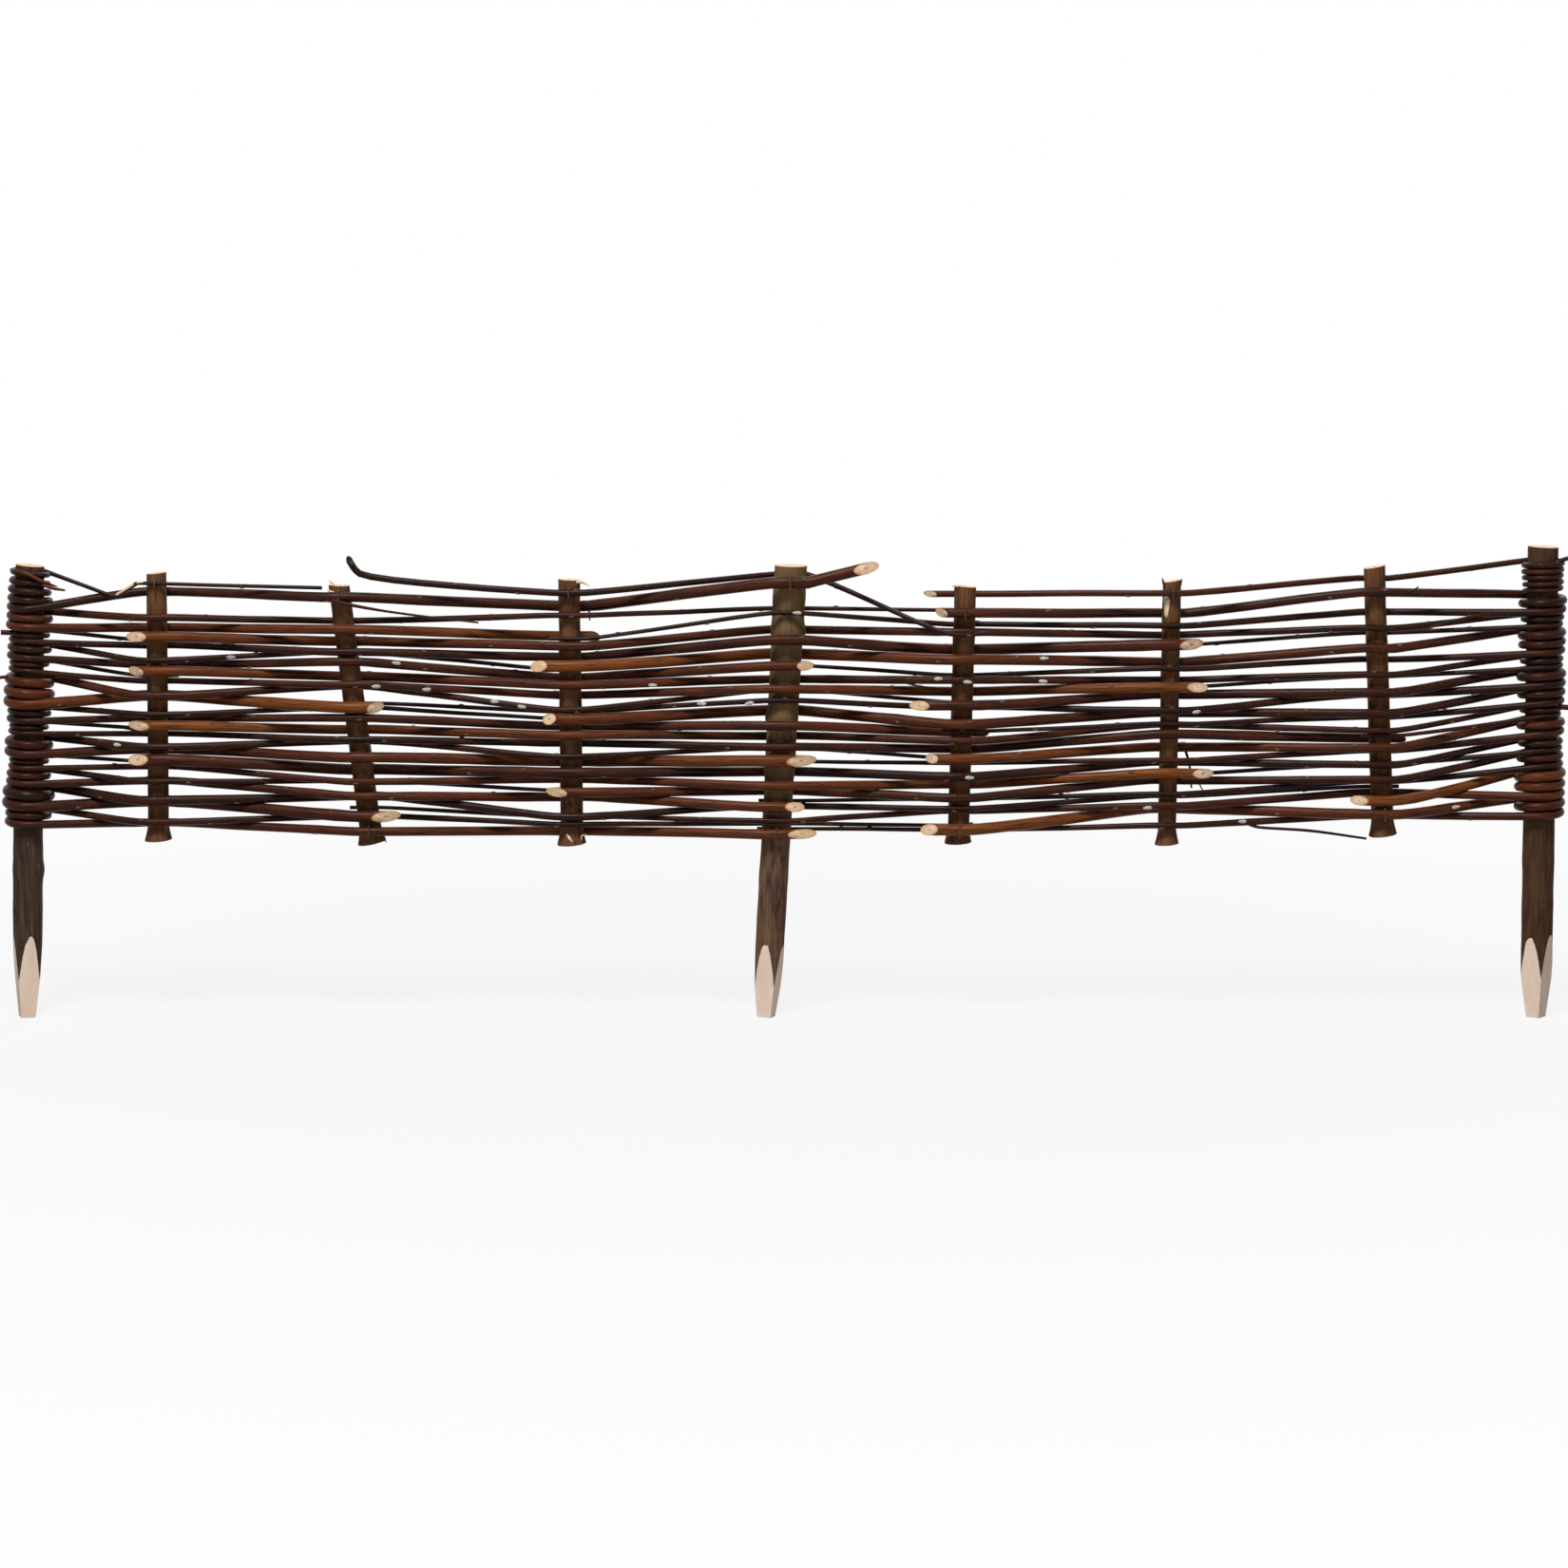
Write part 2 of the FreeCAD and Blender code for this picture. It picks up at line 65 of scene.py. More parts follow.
# lumps and furrows of its bark: how far they go in or out, their length, and how close they come round it
bark_lump = 0.35 * mm
lump_length = 28 * mm
lump_turns = 1.3
bark_furrow = 0.16 * mm
furrow_length = 14 * mm
furrow_turns = 7
stake_seed_step = 3.7
# a face belongs to a cut if it faces the right way and lies near the plane
cut_facing = 0.995
cut_flatness = 0.05 * mm
plain_pith = 0.7
bark_slot, bare_slot, hewn_slot = range(3)
knots = {
    # height of each knot or old scar, the side that it is on in degrees, and how far it stands out
    "left_stake": [(-19, 350, 1.5), (-4, 250, 0.5)],
    "middle_stake": [(191, 300, 0.9), (165, 0, 2.2), (98, 180, 2.0), (60, 170, 1.0), (-25, 260, 0.6)],
    "right_stake": [(-12, 250, 0.4), (-45, 320, 0.3)],
    "upright_1": [(120, 270, 0.5), (62, 300, 0.5)],
    "upright_2": [(170, 250, 0.6), (70, 280, 0.7)],
    "upright_3": [(150, 270, 0.7), (105, 260, 0.6), (45, 290, 0.5)],
    "upright_4": [(160, 290, 0.6), (90, 250, 0.6)],
    "upright_5": [(178, 270, 0.8), (130, 300, 0.9), (86, 260, 0.7)],
    "upright_6": [(150, 260, 0.5), (60, 280, 0.6)],
}
knot_reach = 6.0 * mm
knot_round_share = 0.35
knot_narrowness = 3
weathered_from = 60 * mm
stake_bark_rows = [
    # stake, the dark, middle, light and weathered colours of its bark, and how far it is weathered
    ("left_stake", (38, 27, 22), (68, 52, 44), (104, 84, 70), (86, 70, 54), 0.2),
    ("middle_stake", (50, 35, 28), (98, 72, 59), (136, 108, 86), (138, 111, 72), 0.55),
    ("right_stake", (38, 24, 17), (74, 49, 36), (106, 76, 58), (88, 66, 42), 0.2),
]


def srgb(red, green, blue):
    """A colour as an eye-dropper reads it, from 0 to 255, as the shader wants it."""
    shares = [value / 255 for value in (red, green, blue)]
    linear = [share / 12.92 if share < 0.04045 else ((share + 0.055) / 1.055) ** 2.4 for share in shares]
    return (*linear, 1)


def add_node(tree, kind, feeds, **settings):
    """One shader node. feeds gives each of its inputs a value or another node's output."""
    made = tree.nodes.new("ShaderNode" + kind)
    for key, value in settings.items():
        setattr(made, key, value)
    for key, value in feeds.items():
        if isinstance(value, bpy.types.NodeSocket):
            tree.links.new(value, made.inputs[key])
        else:
            made.inputs[key].default_value = value
    return made


def colours_along(tree, factor, stops):
    """Colours that follow a factor from 0 to 1. stops: where each colour is."""
    made = tree.nodes.new("ShaderNodeValToRGB")
    tree.links.new(factor, made.inputs["Fac"])
    elements = made.color_ramp.elements
    while len(elements) < len(stops):
        elements.new(0.5)
    for element, (place, colour) in zip(elements, stops):
        element.position = place
        element.color = colour
    return made.outputs["Color"]


def share_along(tree, factor, first, last):
    """A share that goes from one level to another with a factor. first, last: where, and the level."""
    stops = [(place, (level, level, level, 1)) for place, level in (first, last)]
    return colours_along(tree, factor, stops)


def mixed(tree, share, first, second):
    """One colour over another, by a share that is a number or an output."""
    made = tree.nodes.new("ShaderNodeMix")
    made.data_type = "RGBA"
    # for colours this node takes inputs 6 and 7, and gives output 2
    for socket, value in ((made.inputs[0], share), (made.inputs[6], first), (made.inputs[7], second)):
        if isinstance(value, bpy.types.NodeSocket):
            tree.links.new(value, socket)
        else:
            socket.default_value = value
    return made.outputs[2]


def stretched_noise(tree, place, stretch, scale, detail=5.0, roughness=0.6):
    """Noise that is drawn out along one way, as grain and bark are."""
    mapping = add_node(tree, "Mapping", {"Vector": place, "Scale": stretch})
    made = add_node(
        tree, "TexNoise",
        {"Vector": mapping.outputs[0], "Scale": scale, "Detail": detail, "Roughness": roughness},
    )
    return made.outputs["Fac"]


def new_surface(name):
    """A new material, with its nodes and its main shader."""
    material = bpy.data.materials.new(name)
    material.use_nodes = True
    return material, material.node_tree, material.node_tree.nodes["Principled BSDF"]


def pole_bark(name, dark, middle, light, moss, weathering):
    """Dull brown bark: long streaks, olive patches, small cross marks and a rough face.
    weathering: how far the whole pole turns olive where it stands above the soil."""
    material, tree, shader = new_surface(name)
    place = add_node(tree, "TexCoord", {}).outputs["Object"]
    streaks = stretched_noise(tree, place, (1, 1, 0.10), 420.0)
    patches = stretched_noise(tree, place, (1, 1, 0.45), 55.0, 3.0)
    marks = stretched_noise(tree, place, (0.5, 0.5, 2.2), 330.0, 2.0)
    flakes = stretched_noise(tree, place, (1, 1, 0.3), 150.0, 4.0)
    colour = colours_along(tree, streaks, [(0.24, dark), (0.52, middle), (0.82, light)])
    patch_share = share_along(tree, patches, (0.44, 0), (0.66, 0.45))
    colour = mixed(tree, patch_share, colour, moss)
    height = add_node(tree, "SeparateXYZ", {"Vector": place}).outputs["Z"]
    weathered = add_node(
        tree, "MapRange", {"Value": height, "From Max": weathered_from, "To Max": weathering},
    )
    colour = mixed(tree, weathered.outputs[0], colour, moss)
    flake_share = share_along(tree, flakes, (0.34, 0.6), (0.45, 0))
    colour = mixed(tree, flake_share, colour, dark)
    mark_share = share_along(tree, marks, (0.66, 0), (0.74, 0.7))
    colour = mixed(tree, mark_share, colour, light)
    tree.links.new(colour, shader.inputs["Base Color"])
    relief = mixed(tree, 0.45, streaks, flakes)
    bump = add_node(tree, "Bump", {"Height": relief, "Strength": 0.55, "Distance": 0.8 * mm})
    tree.links.new(bump.outputs[0], shader.inputs["Normal"])
    shader.inputs["Roughness"].default_value = 0.72
    shader.inputs["Specular IOR Level"].default_value = 0.08
    return material


def bare_wood(name, rim, wood, grain, pith):
    """Freshly cut willow: pale, with the pith in the middle, faint rings and a darker edge of bast."""
    material, tree, shader = new_surface(name)
    place = add_node(tree, "TexCoord", {}).outputs["Object"]
    from_pith = add_node(tree, "Attribute", {}, attribute_name="from_pith").outputs["Fac"]
    across = colours_along(
        tree, from_pith,
        [
            (0.0, pith), (0.13, pith), (0.26, wood), (0.52, wood),
            (0.62, grain), (0.70, wood), (0.82, grain), (1.0, rim),
        ],
    )
    fibres = stretched_noise(tree, place, (1, 1, 0.08), 520.0)
    stain = stretched_noise(tree, place, (1, 1, 1), 120.0, 3.0)
    fibre_share = share_along(tree, fibres, (0.42, 0), (0.70, 0.55))
    stain_share = share_along(tree, stain, (0.50, 0), (0.75, 0.5))
    warmth = stretched_noise(tree, place, (1, 1, 1), 17.0, 1.0)
    warm_share = share_along(tree, warmth, (0.40, 0), (0.62, 0.65))
    colour = mixed(tree, fibre_share, across, grain)
    colour = mixed(tree, stain_share, colour, rim)
    colour = mixed(tree, warm_share, colour, grain)
    tree.links.new(colour, shader.inputs["Base Color"])
    bump = add_node(tree, "Bump", {"Height": fibres, "Strength": 0.35, "Distance": 0.4 * mm})
    tree.links.new(bump.outputs[0], shader.inputs["Normal"])
    shader.inputs["Roughness"].default_value = 0.62
    shader.inputs["Specular IOR Level"].default_value = 0.2
    return material


def select_only(piece):
    """Selects one piece and makes it the active one."""
    bpy.ops.object.select_all(action="DESELECT")
    piece.select_set(True)
    bpy.context.view_layer.objects.active = piece


def select_points(piece, wanted):
    """Opens a piece for editing with only the wanted points selected."""
    select_only(piece)
    bpy.ops.object.mode_set(mode="EDIT")
    bpy.ops.mesh.select_mode(type="VERT")
    bpy.ops.mesh.select_all(action="DESELECT")
    bpy.ops.object.mode_set(mode="OBJECT")
    for point in piece.data.vertices:
        point.select = wanted(point)
    bpy.ops.object.mode_set(mode="EDIT")


def bare_cut(piece, spot, facing, along, reach, radius, slot=bare_slot, pithy=True):
    """Ends the editing of a piece that has just been cut, and gives the cut its own material and pith.
    along: the way that the piece runs, so that a slanting cut still shows its rings in their place."""
    if pithy:
        bpy.ops.mesh.poke()
    bpy.ops.object.mode_set(mode="OBJECT")
    mesh = piece.data
    facing = facing.normalized()
    from_pith = mesh.attributes.get("from_pith")
    if from_pith is None:
        from_pith = mesh.attributes.new("from_pith", "FLOAT", "POINT")
        from_pith.data.foreach_set("value", [plain_pith] * len(mesh.vertices))
    for face in mesh.polygons:
        inside = face.center - spot
        in_plane = face.normal.dot(facing) > cut_facing and abs(inside.dot(facing)) < cut_flatness
        if in_plane and inside.length < reach:
            face.material_index = slot
            if pithy:
                for number in face.vertices:
                    away = (mesh.vertices[number].co - spot).cross(along).length
                    from_pith.data[number].value = min(away / radius, 1)


def saw_through(piece, spot, facing, reach, radius, slot=bare_slot, pithy=True):
    """Saws or hews a pole along a plane near a spot."""
    select_points(piece, lambda point: (point.co - spot).length < reach)
    bpy.ops.mesh.bisect(plane_co=spot, plane_no=facing, use_fill=True, clear_outer=True)
    bare_cut(piece, spot, facing, upwards, reach, radius, slot, pithy)


def raise_log(name, foot, top, radius_at, seed):
    """A round pole on the Z axis, with the lumps, knots and shallow furrows of its bark."""
    bpy.ops.object.select_all(action="DESELECT")
    bpy.ops.mesh.primitive_cylinder_add(vertices=log_sides, radius=1, depth=1, end_fill_type="NGON")
    piece = bpy.context.object
    piece.name = piece.data.name = name
    select_points(piece, lambda point: False)
    bpy.ops.mesh.select_mode(type="EDGE")
    bpy.ops.object.mode_set(mode="OBJECT")
    mesh = piece.data
    for edge in mesh.edges:
        ends = [mesh.vertices[number].co.z for number in edge.vertices]
        edge.select = abs(ends[0] - ends[1]) > log_half_depth
    bpy.ops.object.mode_set(mode="EDIT")
    bpy.ops.mesh.subdivide(number_cuts=int((top - foot) / log_ring_step))
    bpy.ops.object.mode_set(mode="OBJECT")
    for point in mesh.vertices:
        z = foot + (point.co.z + log_half_depth) * (top - foot)
        out = Vector((point.co.x, point.co.y, 0)).normalized()
        turn = math.degrees(math.atan2(out.y, out.x))
        lump_place = Vector((out.x * lump_turns, out.y * lump_turns, z / lump_length))
        lump = bark_lump * noise.noise(lump_place + Vector((seed, 0, 0)))
        furrow_place = Vector((out.x * furrow_turns, out.y * furrow_turns, z / furrow_length))
        furrow = bark_furrow * noise.noise(furrow_place + Vector((0, seed, 0)))
        knot = 0
        for height, side, size in knots[name.removesuffix("_pole")]:
            apart = math.cos(math.radians(turn - side))
            rise = (z - height * mm) / knot_reach
            side_share = (1 - knot_round_share) * max(apart, 0) ** knot_narrowness
            knot += size * mm * math.exp(-rise * rise) * (knot_round_share + side_share)
        point.co = out * (radius_at(z) + lump + furrow + knot) + Vector((0, 0, z))
    bpy.ops.object.shade_smooth()
    return piece


def saw_top(piece, top, tilt, radius):
    """Saws a pole off at its top, a little aslant."""
    facing = Vector((math.sin(math.radians(tilt)), 0, math.cos(math.radians(tilt))))
    saw_through(piece, Vector((0, 0, top)), facing, saw_radii * radius, radius)


def plant(piece, x, lean):
    """Leans a finished pole and puts it in its place, with the place in its mesh."""
    piece.matrix_world = Matrix.Translation((x, 0, 0)) @ Matrix.Rotation(math.atan(lean), 4, "Y")
    select_only(piece)
    bpy.ops.object.transform_apply(location=True, rotation=True, scale=True)
    bpy.ops.object.shade_smooth_by_angle(angle=pole_crease)


stake_barks = {}
for name, *colours, weathering in stake_bark_rows:
    dark, middle, light, moss = [srgb(*colour) for colour in colours]
    stake_barks[name] = pole_bark(name + "_bark", dark, middle, light, moss, weathering)
cut_wood = bare_wood(
    "cut_wood", srgb(186, 130, 86), srgb(250, 226, 196), srgb(230, 190, 148), srgb(146, 92, 52),
)
hewn_wood = bare_wood(
    "hewn_wood", srgb(230, 194, 166), srgb(252, 230, 210), srgb(238, 208, 184), srgb(210, 170, 130),
)

for number, row in enumerate(stake_rows):
    name, x, lean, low_radius, high_radius, top, tilt, hewn_from, hewn_turn = row

    def stake_radius(z):
        share = max(z, 0) / (top * mm)
        return (low_radius + (high_radius - low_radius) * share) * mm

    sawn_from = (top + saw_spare) * mm
    stake = raise_log(name + "_pole", hewn_to, sawn_from, stake_radius, stake_seed_step * number)
    for material in (stake_barks[name], cut_wood, hewn_wood):
        stake.data.materials.append(material)
    saw_top(stake, top * mm, tilt, stake_radius(top * mm))
    slope = (low_radius * mm - point_half_width) / (hewn_from * mm - hewn_to)
    for side in range(hewn_sides):
        turn = math.radians(360 / hewn_sides * side + hewn_turn)
        out = Vector((math.cos(turn), math.sin(turn), 0))
        spot = out * point_half_width + Vector((0, 0, hewn_to))
        facing = out - slope * upwards
        saw_through(stake, spot, facing, hewn_reach, low_radius * mm, hewn_slot, pithy=False)
    plant(stake, x * mm, lean)
    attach(stake, "root")
    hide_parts(name)

# Uprights. Six thinner poles with the bark on, sawn off above and below, that only stiffen the weave.
# The saw has spread the bark a little at each foot.

upright_rows = [
    # name, x at the ground line, lean, radius there and at the top, height of the foot and of the top,
    # tilt of the sawn top
    ("upright_1", -472.9, 0.011, 8.1, 7.6, 4, 209, -6),
    ("upright_2", -309.0, -0.115, 8.6, 7.75, 2, 201, 9),
    ("upright_3", -156.0, -0.004, 8.75, 8.25, 1, 204, 3),
    ("upright_4", 140.0, 0.022, 8.1, 8.4, 2, 199, 4),
    ("upright_5", 300.0, 0.007, 7.0, 7.0, 1, 203, -10),
    ("upright_6", 466.0, -0.051, 8.5, 8.1, 8, 214, -7),
]
foot_flare = 2.4 * mm
foot_flare_height = 13 * mm
foot_flare_curve = 1.5
foot_spare = 6
foot_facing = Vector((0.08, 0.05, -1))
upright_seed = 5.3
upright_seed_step = 2.9

upright_bark = pole_bark(
    "upright_bark", srgb(52, 31, 21), srgb(104, 66, 46), srgb(138, 96, 68), srgb(122, 90, 56), 0.2,
)

for number, (name, x, lean, low_radius, high_radius, foot, top, tilt) in enumerate(upright_rows):
    def upright_radius(z):
        share = z / (top * mm)
        flare = max(1 - (z - foot * mm) / foot_flare_height, 0)
        spread = foot_flare * min(flare, 1) ** foot_flare_curve
        return (low_radius + (high_radius - low_radius) * share) * mm + spread

    seed = upright_seed + upright_seed_step * number
    upright = raise_log(
        name + "_pole", (foot - foot_spare) * mm, (top + saw_spare) * mm, upright_radius, seed,
    )
    for material in (upright_bark, cut_wood):
        upright.data.materials.append(material)
    saw_top(upright, top * mm, tilt, upright_radius(top * mm))
    foot_radius = upright_radius(foot * mm)
    saw_through(upright, foot * mm * upwards, foot_facing, saw_radii * foot_radius, foot_radius)
    plant(upright, x * mm, lean)
    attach(upright, "root")
    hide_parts(name)

# Woven rods. Whole one-year willow shoots with the bark on, thick and golden at the cut butt and thin
# and dark at the tip. Each is bent in front of one pole and behind the next, and most are turned
# round an end stake.

rod_names = sorted(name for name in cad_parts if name.startswith(("rod_", "top_rod_")))
hooked_rod = "top_rod_middle"
bound_rod = "top_rod_right"
# how a rod's solid is read: its six-sided ends, and the short facets of its turns round a stake
solid_sides = 6
same_plane = 0.99999
weld = 0.01 * mm
longest_cap_edge = 9 * mm
longest_facet = 16 * mm
turn_facets = 8
tuck_facets = 3
# how it is drawn again as a round stem
rod_sides = 12
rod_steps = 8
rod_crease = math.radians(50)
round_share = 0.945
sharp_bend = 0.22
never_sharp = 2
bend_share = 0.36
bend_reach = 1.6
# its waver, and the nodes along it
rod_waver = 0.5 * mm
waver_pitch = 17
waver_layer = 0.5
waver_seed = 7
node_spacing = 62 * mm
node_spread = (0.7, 1.4)
node_swell = 0.07
node_length = 3 * mm
# how golden the bark is at the butt, how far along that goes in metres, and how drawn out its grain is
tone_middle = 0.62
tone_spread = 0.38
tone_phase = 2.4
top_tones = {"top_rod_left": 0.28, "top_rod_middle": 0.0, "top_rod_right": 0.35}
ripe_length = 0.45
grain_squeeze = 0.05
# the slanting cut at the butt, which differs from rod to rod, and the cut at the tip
butt_slope = 1.6
slope_spread = 0.5
slope_phase = 1.3
butt_slopes = {
    "rod_01_left": 2.6, "rod_01_right": 1.4, "rod_02_left": 2.3, "rod_02_right": 1.6, "rod_03_left": 1.8,
    "rod_03_right": 2.0, "rod_05_left": 2.4, "rod_10_left": 1.6, "top_rod_left": 2.3,
}
tilt_spread = 0.4
tilt_phase = 2.1
butt_spare = 0.8
butt_run = 2.5
butt_reach = 20 * mm
tip_reach = 5 * mm


def rounded_turns(stations):
    """Takes the middles of the short facets round a stake in place of their corners, which stand off."""
    facets = []
    for (before, thick), (after, thin) in zip(stations, stations[1:]):
        short = (after - before).length < longest_facet
        facets.append(((before + after) / 2, (thick + thin) / 2) if short else None)
    turning = [bool(one and other) for one, other in zip(facets, facets[1:])]
    turned = []
    for place, station in enumerate(stations):
        near = [turning[other] for other in (place - 2, place - 1, place) if 0 <= other < len(turning)]
        if not any(near):
            turned.append(station)
        elif place < len(facets) and facets[place]:
            turned.append(facets[place])
    return turned


def rod_stations(name):
    """Centres and radii along a rod's solid, from its butt to its tip."""
    solid = bmesh.new()
    solid.from_mesh(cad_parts[name].data)
    bmesh.ops.remove_doubles(solid, verts=solid.verts, dist=weld)
    solid.verts.index_update()
    caps = []
    seen = set()
    for face in solid.faces:
        if face in seen:
            continue
        patch = {face}
        waiting = [face]
        while waiting:
            for edge in waiting.pop().edges:
                for other in edge.link_faces:
                    if other not in patch and other.normal.dot(face.normal) > same_plane:
                        patch.add(other)
                        waiting.append(other)
        seen |= patch
        corners = {corner for member in patch for corner in member.verts}
        longest = max(edge.calc_length() for member in patch for edge in member.edges)
        if len(corners) == solid_sides and longest < longest_cap_edge:
            caps.append(corners)
    stations = []
    ring = caps[0]
    passed = set()
    while ring:
        passed |= ring
        places = [corner.co for corner in sorted(ring, key=lambda corner: corner.index)]
        centre = sum(places, Vector()) / len(places)
        stations.append((centre, round_share * min((place - centre).length for place in places)))
        ring = {edge.other_vert(corner) for corner in ring for edge in corner.link_edges} - passed
    solid.free()
    if stations[1][1] < stations[-2][1]:
        stations.reverse()
    stations[0] = (stations[0][0], stations[1][1])
    return rounded_turns(stations)


def draw_rod(name, stations, sharp=sharp_bend):
    """A round tapering stem through the stations, as a mesh of rings from its butt to its tip.
    A bend stays sharp where the rise of the run changes by more than this, as it does at a break."""
    bpy.ops.object.select_all(action="DESELECT")
    bpy.ops.curve.primitive_bezier_curve_add()
    piece = bpy.context.object
    piece.name = piece.data.name = name
    line = piece.data.splines[0]
    line.bezier_points.add(len(stations) - len(line.bezier_points))
    for knot, (centre, radius) in zip(line.bezier_points, stations):
        knot.co = centre
        knot.radius = radius
        knot.handle_left_type = knot.handle_right_type = "FREE"
    runs = [after - before for (before, _), (after, _) in zip(stations, stations[1:])]
    for knot, run, next_run in zip(line.bezier_points, runs[:1] + runs, runs + runs[-1:]):
        before, after = run.normalized(), next_run.normalized()
        if abs(after.z - before.z) < sharp:
            before = after = (before + after).normalized()
        knot.handle_left = knot.co - before * bend_share * min(run.length, bend_reach * next_run.length)
        knot.handle_right = knot.co + after * bend_share * min(next_run.length, bend_reach * run.length)
    piece.data.bevel_depth = 1
    piece.data.bevel_resolution = rod_sides // 2 - 2
    piece.data.resolution_u = rod_steps
    piece.data.twist_mode = "Z_UP"
    bpy.ops.object.convert(target="MESH")
    return bpy.context.object


def grow_bark(piece, seed, tone):
    """Gives a drawn rod its slight waver and swollen nodes, and notes where the bark's grain runs."""
    mesh = piece.data
    points = np.zeros(len(mesh.vertices) * 3)
    mesh.vertices.foreach_get("co", points)
    rings = points.reshape(-1, rod_sides, 3)
    centres = rings.mean(axis=1)
    steps = np.linalg.norm(np.diff(centres, axis=0), axis=1)
    along = np.concatenate([[0], np.cumsum(steps)])
    places = [Vector((run * waver_pitch, seed, waver_layer)) for run in along]
    waver = np.array([noise.noise_vector(place) for place in places]) * rod_waver
    draw = random.Random(seed)
    node_count = int(along[-1] / node_spacing)
    nodes = np.cumsum([node_spacing * draw.uniform(*node_spread) for _ in range(node_count)])
    swell = np.zeros_like(along)
    for node in nodes:
        swell += node_swell * np.exp(-((along - node) / node_length) ** 2)
    spokes = rings - centres[:, None, :]
    rings[:] = (centres + waver)[:, None, :] + spokes * (1 + swell)[:, None, None]
    mesh.vertices.foreach_set("co", rings.ravel())
    radii = np.linalg.norm(spokes, axis=2).mean(axis=1)
    turns = 2 * math.pi * np.arange(rod_sides) / rod_sides
    grain = np.zeros_like(rings)
    grain[:, :, 0] = (along * grain_squeeze)[:, None] + seed
    grain[:, :, 1] = radii[:, None] * np.cos(turns)
    grain[:, :, 2] = radii[:, None] * np.sin(turns)
    tones = np.repeat(tone * np.exp(-along / ripe_length), rod_sides)
    mesh.attributes.new("grain", "FLOAT_VECTOR", "POINT").data.foreach_set("vector", grain.ravel())
    mesh.attributes.new("ripeness", "FLOAT", "POINT").data.foreach_set("value", tones)
    mesh.update()
    return nodes, along, centres + waver, radii


def rod_bark_surface():
    """Smooth willow bark: golden at the butt, then red-brown to nearly black, with fine streaks."""
    material, tree, shader = new_surface("rod_bark")
    grain = add_node(tree, "Attribute", {}, attribute_name="grain").outputs["Vector"]
    ripeness = add_node(tree, "Attribute", {}, attribute_name="ripeness").outputs["Fac"]
    streaks = stretched_noise(tree, grain, (1, 1, 1), 900.0)
    patches = stretched_noise(tree, grain, (4, 1, 1), 160.0, 3.0)
    dots = stretched_noise(tree, grain, (16, 1, 1), 1100.0, 1.0)
    # the patches move the colour to either side of where the ripeness puts it
    spread = add_node(tree, "Math", {0: patches, 1: 0.55}, operation="MULTIPLY_ADD")
    tree.links.new(ripeness, spread.inputs[2])
    shift = add_node(tree, "Math", {0: spread.outputs[0], 1: 0.28}, operation="SUBTRACT", use_clamp=True)
    colour = colours_along(
        tree, shift.outputs[0],
        [
            (0.0, srgb(36, 15, 9)), (0.25, srgb(75, 34, 18)),
            (0.55, srgb(104, 52, 22)), (0.9, srgb(128, 71, 27)),
        ],
    )
    dark_share = share_along(tree, streaks, (0.34, 0.8), (0.52, 0))
    colour = mixed(tree, dark_share, colour, srgb(17, 8, 6))
    dot_share = share_along(tree, dots, (0.70, 0), (0.78, 0.6))
    colour = mixed(tree, dot_share, colour, srgb(150, 112, 84))
    tree.links.new(colour, shader.inputs["Base Color"])
    bump = add_node(tree, "Bump", {"Height": streaks, "Strength": 0.30, "Distance": 0.4 * mm})
    tree.links.new(bump.outputs[0], shader.inputs["Normal"])
    gloss = share_along(tree, patches, (0.35, 0.28), (0.65, 0.44))
    tree.links.new(gloss, shader.inputs["Roughness"])
    shader.inputs["Specular IOR Level"].default_value = 0.10
    return material


# without a seed the rods would waver in another way at each run
noise.seed_set(waver_seed)
rod_bark = rod_bark_surface()
rods = {}
for number, name in enumerate(rod_names):
    stations = rod_stations(name)
    butt, butt_radius = stations[0]
    heading = (stations[1][0] - butt).normalized()
    showing = -1 if butt.y < 0 or name == bound_rod else 1
    slope = butt_slopes.get(name, butt_slope + slope_spread * math.sin(slope_phase * number))
    spare = (slope + butt_spare) * butt_radius
    stations[0] = (butt - heading * spare, butt_radius)
    if name == bound_rod:
        for _ in range(tuck_facets):
            climb = stations[-1][0] - stations[-1 - turn_facets][0]
            stations.append((stations[-turn_facets][0] + climb, stations[-1][1]))
    hooked = name == hooked_rod
    rod = draw_rod("willow_" + name, stations, never_sharp if hooked else sharp_bend)
    tone = top_tones.get(name, tone_middle + tone_spread * math.sin(tone_phase * number))
    rods[name] = grow_bark(rod, number + 1, tone)
    for material in (rod_bark, cut_wood):
        rod.data.materials.append(material)
    _, along, centres, radii = rods[name]
    onward = Vector(centres[-1] - centres[-2]).normalized()
    last_ring = len(rod.data.vertices) - rod_sides
    select_points(rod, lambda point: point.index >= last_ring)
    bpy.ops.mesh.edge_face_add()
    bare_cut(rod, Vector(centres[-1]), onward, onward, tip_reach, radii[-1])
    tilt = tilt_spread * math.sin(tilt_phase * number)
    facing = (Vector((0, showing * slope, tilt)) - heading).normalized()
    first_rings = rod_sides * int(np.searchsorted(along, butt_run * spare))
    select_points(rod, lambda point: point.index < first_rings)
    bpy.ops.mesh.bisect(plane_co=butt, plane_no=facing, use_fill=True, clear_outer=True)
    bare_cut(rod, butt, facing, heading, butt_reach, butt_radius, bark_slot if hooked else bare_slot)
    select_only(rod)
    bpy.ops.object.shade_smooth_by_angle(angle=rod_crease)
    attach(rod, "root")
    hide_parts(name)

# Side shoot. A thin twig left on the lowest rod, which hangs clear of the weave and droops to its tip.
# It starts inside the rod that it grows from and is swollen there.

shoot_join = 13 * mm
shoot_swell = 1.5
shoot_tone = 0.1
plain_butt = 45 * mm
off_middle = 2 * mm
out_of_reach = 1


